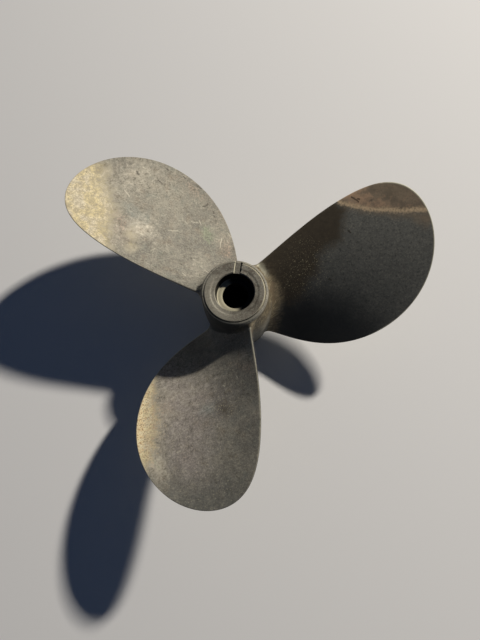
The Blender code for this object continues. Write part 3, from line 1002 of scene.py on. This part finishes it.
# Marks in the order in which they lie. Each has the noise that frays it and how much, where it
# begins and is full, its roughness and metallic, its colour and the tints over that.
markLayers = (
    ("paled", ("grain", 0.9, 0.1, 1.2), 0.72, 0.2, "pale", spots("pale", 0.5)),
    ("mauved", ("mottle", 0.8, 0.1, 1.0), 0.72, 0.2, "mauve", spots("mauve", 0.6)),
    ("cooled", ("mottle", 0.7, 0.15, 1.2), 0.70, 0.3, "cold", spots("cold", 0.5)),
    ("dulled", ("mottle", 0.3, 0.0, 1.0), 0.70, 0.35, "dull", (
        ("ash", ("grain", 0.30, 0.70)), ("skinLight", ("speck", 0.58, 0.68, 0.5)),
        ("skinLight", ("dust", 0.54, 0.68, 0.35)), ("dusk", ("dust", 0.46, 0.32, 0.5)))),
    # painted shade, with grime in places: a dark coat
    ("darkened", ("mottle", 0.3, 0.0, 1.0), 0.65, 0.35, "dusk", ()),
    ("rubbed", ("mottle", 1.5, 0.15, 1.10), 0.68, 0.18, "golden", (
        ("straw", ("mottle", 0.38, 0.62)), ("worn", ("grain", 0.42, 0.68, 0.7)),
        ("worn", ("dust", 0.42, 0.68, 0.65)), ("worn", ("speck", 0.42, 0.68, 0.7)))),
    ("gilded", ("dust", 1.8, 0.20, 1.05), 0.60, 0.10, "gilt", (
        ("amber", ("grain", 0.42, 0.58, 0.6)), ("tan", ("speck", 0.51, 0.60, 0.8)),
        ("tan", ("dust", 0.56, 0.66, 0.5)))),
    ("ruddy", ("dust", 1.6, 0.25, 1.4), 0.72, 0.2, "pink", spots("pink", 0.6)),
    ("greened", ("grain", 1.2, 0.3, 1.1), 0.75, 0.1, "green", spots("green", 0.6)),
    ("grimed", ("grain", 0.7, 0.2, 0.9), 0.62, 0.2, "soil", (("grime", ("grain", 0.30, 0.70)),)),
    ("rootNear", ("grain", 1.2, 0.15, 0.95), 0.65, 0.30, "khaki", (
        ("streak", ("web", 0.42, 0.58, 0.85)), ("sienna", ("mottle", 0.52, 0.66, 0.5)),
        ("streak", ("mottle", 0.45, 0.65, 0.7)), ("streak", ("grain", 0.45, 0.65, 0.6)),
        ("streak", ("dust", 0.45, 0.65, 0.65)))),
    ("rusted", ("mottle", 0.6, 0.2, 1.0), 0.70, 0.2, "halo", ()),
    ("stained", ("grain", 0.5, 0.25, 0.8), 0.72, 0.1, "rust", (
        ("umber", ("mottle", 0.35, 0.65)), ("sienna", ("grain", 0.52, 0.66, 0.5)),
        ("umber", ("dust", 0.50, 0.66, 0.55)), ("umber", ("speck", 0.50, 0.66, 0.55)),
        ("olive", ("darkened",)), ("sienna", ("fresh",)))),
    ("tideLine", ("dust", 1.6, 0.1, 1.1), 0.75, 0.1, "tide", ()),
    ("edgeNear", ("grain", 0.8, 0.3, 1.2), 0.60, 0.3, "edge", ()),
)
# Fine marks over them: steps, roughness, metallic and colour
fineLayers = (
    ((("speck", 0.60, 0.66), ("speckled",)), 0.6, 0.3, "speck"),
    ((("scratches", 0.67, 0.74, 0.5), ("cloud", 0.40, 0.58), ("dulled", 0.6, 0.1),
      ("darkened", 0.6, 0.1), ("mauved", 0.6, 0.1)), 0.6, 0.4, "fleck"),
    ((("scratch", 0.0019, 0.00095, 0.60),), 0.6, 0.3, "fleck"),
    ((("nick", 0.0026, 0.0013, 0.8),), 0.6, 0.3, "pit"),
    ((("grain", 0.36, 0.24, 0.5),), 0.8, 0.1, "pit"),
)


def bronzeNoise(tree):
    values = {}
    spot = addNode(tree, "TexCoord", {}, "Object")
    for kind in ("cloud", "mottle", "grain", "dust", "speck"):
        settings = {"Scale": 1 / bronze[kind + "Size"], "Detail": 4, "Roughness": 0.6}
        values[kind] = addNode(tree, "TexNoise", settings | {"Vector": spot})
    return values


# Noise for slightly curved scratches that run several ways
def scratches(tree, skinSpot):
    scale, far = bronze["scratchBend"]
    bend = addNode(tree, "TexNoise", {"Scale": scale, "Detail": 1, "Vector": skinSpot}, "Color")
    bending = {"operation": "MULTIPLY_ADD", 0: bend, 1: (far, far, 0), 2: skinSpot}
    bent = addNode(tree, "VectorMath", bending)
    total = 0.0
    for heading in bronze["scratchHeadings"]:
        wild = stretched(tree, bent, heading, *bronze["scratchSize"])
        total = addNode(tree, "Math", {"operation": "MAXIMUM", 0: total, 1: wild})
    return total


# A place on an aft face in the coordinates of skinSpot
def skinPlace(number, share, across):
    out, width = flatSpot(share, across)
    along = width / out * float(np.hypot(out, advance(out)))
    return Vector((along, out, marking["bladeShift"] * number))


# Distance to the middle lines of the single strokes of one kind. Noise bends them and makes
# their rims ragged.
def strokeDistance(tree, skinSpot, wild, kind):
    scale, far = bronze["strokeBend"]
    bend = addNode(tree, "TexNoise", {"Scale": scale, "Detail": 1, "Vector": skinSpot}, "Color")
    bend = addNode(tree, "VectorMath", {"operation": "SUBTRACT", 0: bend, 1: (0.5, 0.5, 0.5)})
    bending = {"operation": "MULTIPLY_ADD", 0: bend, 1: (far, far, 0), 2: skinSpot}
    bent = addNode(tree, "VectorMath", bending)
    nearest = 1.0
    for number, first, last in strokes[kind]:
        start = skinPlace(number, *first)
        side = skinPlace(number, *last) - start
        gap = addNode(tree, "VectorMath", {"operation": "SUBTRACT", 0: bent, 1: start})
        dot = {"operation": "DOT_PRODUCT", 0: gap, 1: side / side.length_squared}
        share = addNode(tree, "Clamp", {"Value": addNode(tree, "VectorMath", dot, "Value")})
        spot = addNode(tree, "VectorMath", {"operation": "SCALE", 0: side, "Scale": share})
        off = addNode(tree, "VectorMath", {"operation": "DISTANCE", 0: gap, 1: spot}, "Value")
        nearest = addNode(tree, "Math", {"operation": "MINIMUM", 0: nearest, 1: off})
    ragged = {"operation": "MULTIPLY_ADD", 0: wild, 1: bronze["strokeRagged"], 2: nearest}
    return addNode(tree, "Math", ragged)


def agedBronze(tree):
    values = bronzeNoise(tree)
    skinSpot = addNode(tree, "Attribute", {"attribute_name": "skinSpot"}, "Vector")
    for kind in maskKinds:
        values[kind] = addNode(tree, "Attribute", {"attribute_name": kind}, "Fac")
    for kind in strokes:
        values[kind] = strokeDistance(tree, skinSpot, values["dust"], kind)
    values["scratches"] = scratches(tree, skinSpot)
    values["web"] = stretched(tree, skinSpot, bronze["webHeading"], *bronze["webSize"])
    values["fresh"] = frayed(tree, values["ruddy"], values["grain"], 1.4, 0.35, 1.0)
    colour = tinted(tree, values, bronze, linear(bronze["dark"]), skinTints)
    for heading in bronze["lineHeadings"]:
        values["line"] = stretched(tree, skinSpot, heading, *bronze["lineSize"])
        colour = tinted(tree, values, bronze, colour, [lineTint])
    low = bronze["roughness"] - bronze["roughnessRange"]
    high = bronze["roughness"] + bronze["roughnessRange"]
    roughness = addNode(tree, "Mix", {0: values["grain"], 2: low, 3: high})
    skin = {"Base Color": colour, "Roughness": roughness, "Metallic": bronze["metallic"]}
    for kind, (wild, *limits), roughness, metallic, name, tints in markLayers:
        mask = frayed(tree, values[kind], values[wild], *limits)
        colour = tinted(tree, values, bronze, linear(bronze[name]), tints)
        skin = coat(tree, skin, mask, colour, roughness, metallic)
    for steps, roughness, metallic, name in fineLayers:
        mask = shareOf(tree, values, steps)
        skin = coat(tree, skin, mask, linear(bronze[name]), roughness, metallic)
    strength, height = bronze["bump"]
    relief = {"Strength": strength, "Distance": height, "Height": values["grain"]}
    bump = addNode(tree, "Bump", relief)
    return addNode(tree, "BsdfPrincipled", skin | {"Normal": bump})


# The same bronze, turned on a lathe and since dulled. The eye gets grey and brown rings one
# inside the other, with a soft sheen. The counterbore and the bore are painted near black as
# shade, and the seat is pale only on its lit side.
turning = {
    "grey": "#86887f",
    "brown": "#746e64",
    "pale": "#a5a294",
    "seat": "#a9a590",
    "rim": "#c0bba6",
    "grime": "#3c362d",
    "stain": "#62544a",
    "soot": "#0b0a08",
    "ringSize": 0.0022,
    "fineSize": 0.0005,
    "bump": (0.5, 0.0002),    # strength and height
    "metallic": 0.45,
    "roughness": 0.62,
}
turnedTints = (
    ("brown", ("ring", 0.35, 0.65)),
    ("pale", ("fine", 0.5, 0.8, 0.5)),
    ("grime", ("mottle", 0.52, 0.40, 0.5)),
    ("stain", ("grain", 0.54, 0.70, 0.45)),
    ("pale", ("dust", 0.54, 0.68, 0.5)),
    ("stain", ("dust", 0.46, 0.32, 0.5)),
    ("pale", ("speck", 0.54, 0.68, 0.5)),
    ("stain", ("speck", 0.46, 0.32, 0.5)),
    ("grime", ("darkened",)),
    # painted highlight: the turned face is paler toward the side where the seat is lit
    ("pale", ("seatLitFacing", 0.2, 0.9, 0.35)),
    # painted shade: the counterbore wall and the seat are near black, the seat is pale only on its
    # lit side, and the bore is near black
    ("soot", ("level", hub["aft"] - 0.0014, hub["aft"] - 0.0030)),
    ("seat", ("level", seat + 0.0010, seat + 0.0002), ("seatLitFacing", -0.1, 0.3)),
    # painted highlight: a pale line along the rim of the collar on the side toward the key
    ("rim", ("out", collarRim - 0.0014, collarRim - 0.0005, 0.8), ("seatLitFacing", -0.35, -0.8)),
    ("soot", ("level", seat - 0.0004, seat - 0.0040)),
)


def turnedBronze(tree):
    values = bronzeNoise(tree)
    values["darkened"] = addNode(tree, "Attribute", {"attribute_name": "darkened"}, "Fac")
    turnSpot = addNode(tree, "Attribute", {"attribute_name": "turnSpot"}, "Vector")
    for kind in ("ring", "fine"):
        settings = {"Scale": 1 / turning[kind + "Size"], "Detail": 2, "Roughness": 0.6}
        values[kind] = addNode(tree, "TexNoise", settings | {"Vector": turnSpot})
    for place, kind in enumerate(("out", "level", "seatLitFacing")):
        values[kind] = addNode(tree, "SeparateXYZ", {0: turnSpot}, place)
    colour = tinted(tree, values, turning, linear(turning["grey"]), turnedTints)
    strength, height = turning["bump"]
    relief = {"Strength": strength, "Distance": height, "Height": values["fine"]}
    bump = addNode(tree, "Bump", relief)
    skin = {"Base Color": colour, "Roughness": turning["roughness"], "Metallic": turning["metallic"]}
    return addNode(tree, "BsdfPrincipled", skin | {"Normal": bump})


# Bronze on the bevel of the slot, painted pale as a highlight where the bevel faces the key. The eye
# gets a bright pale strip.
bevelShine = {
    "highlight": "#d8d4be",
    "roughness": 0.5,
    "metallic": 0.2,
}


def bevelHighlight(tree):
    skin = {"Base Color": linear(bevelShine["highlight"])}
    skin |= {"Roughness": bevelShine["roughness"], "Metallic": bevelShine["metallic"]}
    return addNode(tree, "BsdfPrincipled", skin)


def onBevel(spot):
    angle = math.radians(hub["slotAngle"])
    off = spot.y * math.cos(angle) - spot.x * math.sin(angle)
    run = spot.x * math.cos(angle) + spot.y * math.sin(angle)
    low, high = slot["cut"][0][1:]
    return run > 0 and low < off < high and 0 < hub["aft"] + datum - spot.z < hub["slotDepth"]


def dress(body):
    body.data.materials.clear()
    for shaderOf in (agedBronze, turnedBronze, bevelHighlight):
        body.data.materials.append(makeMaterial(shaderOf))
    turned = body.data.attributes["turned"].data
    for face in body.data.polygons:
        if onBevel(face.center):
            face.material_index = 2
        elif all(turned[index].value > 0.5 for index in face.vertices):
            face.material_index = 1
    body.data.shade_smooth()
    body.data.set_sharp_from_angle(angle=math.radians(hub["sharpAngle"]))


ground = {
    "halfSize": 6,
    "gap": 0.0001,            # from the hub's fore end down to the floor
    "colour": "#dcdee0",
    "roughness": 0.9,
}


# Matt emulsion, rolled on. The eye gets an even pale floor.
def palePaint(tree):
    skin = {"Base Color": linear(ground["colour"]), "Roughness": ground["roughness"]}
    return addNode(tree, "BsdfPrincipled", skin)


def buildFloor():
    mesh = bmesh.new()
    bmesh.ops.create_grid(mesh, x_segments=1, y_segments=1, size=ground["halfSize"])
    bmesh.ops.translate(mesh, verts=mesh.verts, vec=(0, 0, cadBox[0].z - ground["gap"]))
    floor = meshObject("floor", mesh)
    floor.data.materials.append(makeMaterial(palePaint))


# The camera of the photo: it looks down past the hub, tilted from straight down and rolled.
# Its lens is given in pixels of the 480 x 640 picture.
shot = {
    "place": (0.00894, -0.19442, 0.68343),
    "heading": 2.961,
    "tilt": 14.14,
    "roll": -12.82,
    "focalPixels": 537.77,
    "tallPixels": 640,
    "sensor": 36,
}


def buildCamera():
    data = bpy.data.cameras.new("camera")
    data.sensor_width = shot["sensor"]
    data.lens = shot["sensor"] * shot["focalPixels"] / shot["tallPixels"]
    camera = bpy.data.objects.new("camera", data)
    bpy.context.scene.collection.objects.link(camera)
    matrix = Matrix.Translation(shot["place"])
    for name, axis in (("heading", "Z"), ("tilt", "X"), ("roll", "Z")):
        matrix = matrix @ Matrix.Rotation(math.radians(shot[name]), 4, axis)
    camera.matrix_world = matrix
    bpy.context.scene.camera = camera


# The key is a soft box that stands where the sun stood in the photo.
light = {
    "azimuth": 29.9,
    "elevation": 36,
    "distance": 5.0,
    "keySize": 0.30,
    "keyPower": 300,
    "keyColour": "#fff6e9",
    "world": "#98b2e4",
    "worldStrength": 0.073,
}


def buildLight():
    data = bpy.data.lights.new("key", "AREA")
    data.size = light["keySize"]
    data.energy = light["keyPower"]
    data.color = linear(light["keyColour"])[:3]
    lamp = bpy.data.objects.new("key", data)
    bpy.context.scene.collection.objects.link(lamp)
    around = math.radians(light["azimuth"])
    up = math.radians(light["elevation"])
    flat = math.cos(up)
    toward = Vector((math.cos(around) * flat, math.sin(around) * flat, math.sin(up)))
    lamp.location = toward * light["distance"]
    lamp.rotation_euler = toward.to_track_quat("Z", "Y").to_euler()
    world = bpy.data.worlds.new("studio")
    world.use_nodes = True
    sky = world.node_tree.nodes["Background"]
    sky.inputs["Color"].default_value = linear(light["world"])
    sky.inputs["Strength"].default_value = light["worldStrength"]
    bpy.context.scene.world = world
    bpy.context.scene.view_settings.view_transform = "Standard"


casting = buildCasting()
cutSlot(casting)
paintMasks(casting)
dress(casting)
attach(casting, "root")
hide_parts("propeller")
print("casting built and painted")

buildFloor()
buildCamera()
buildLight()
print("floor, camera and light placed")
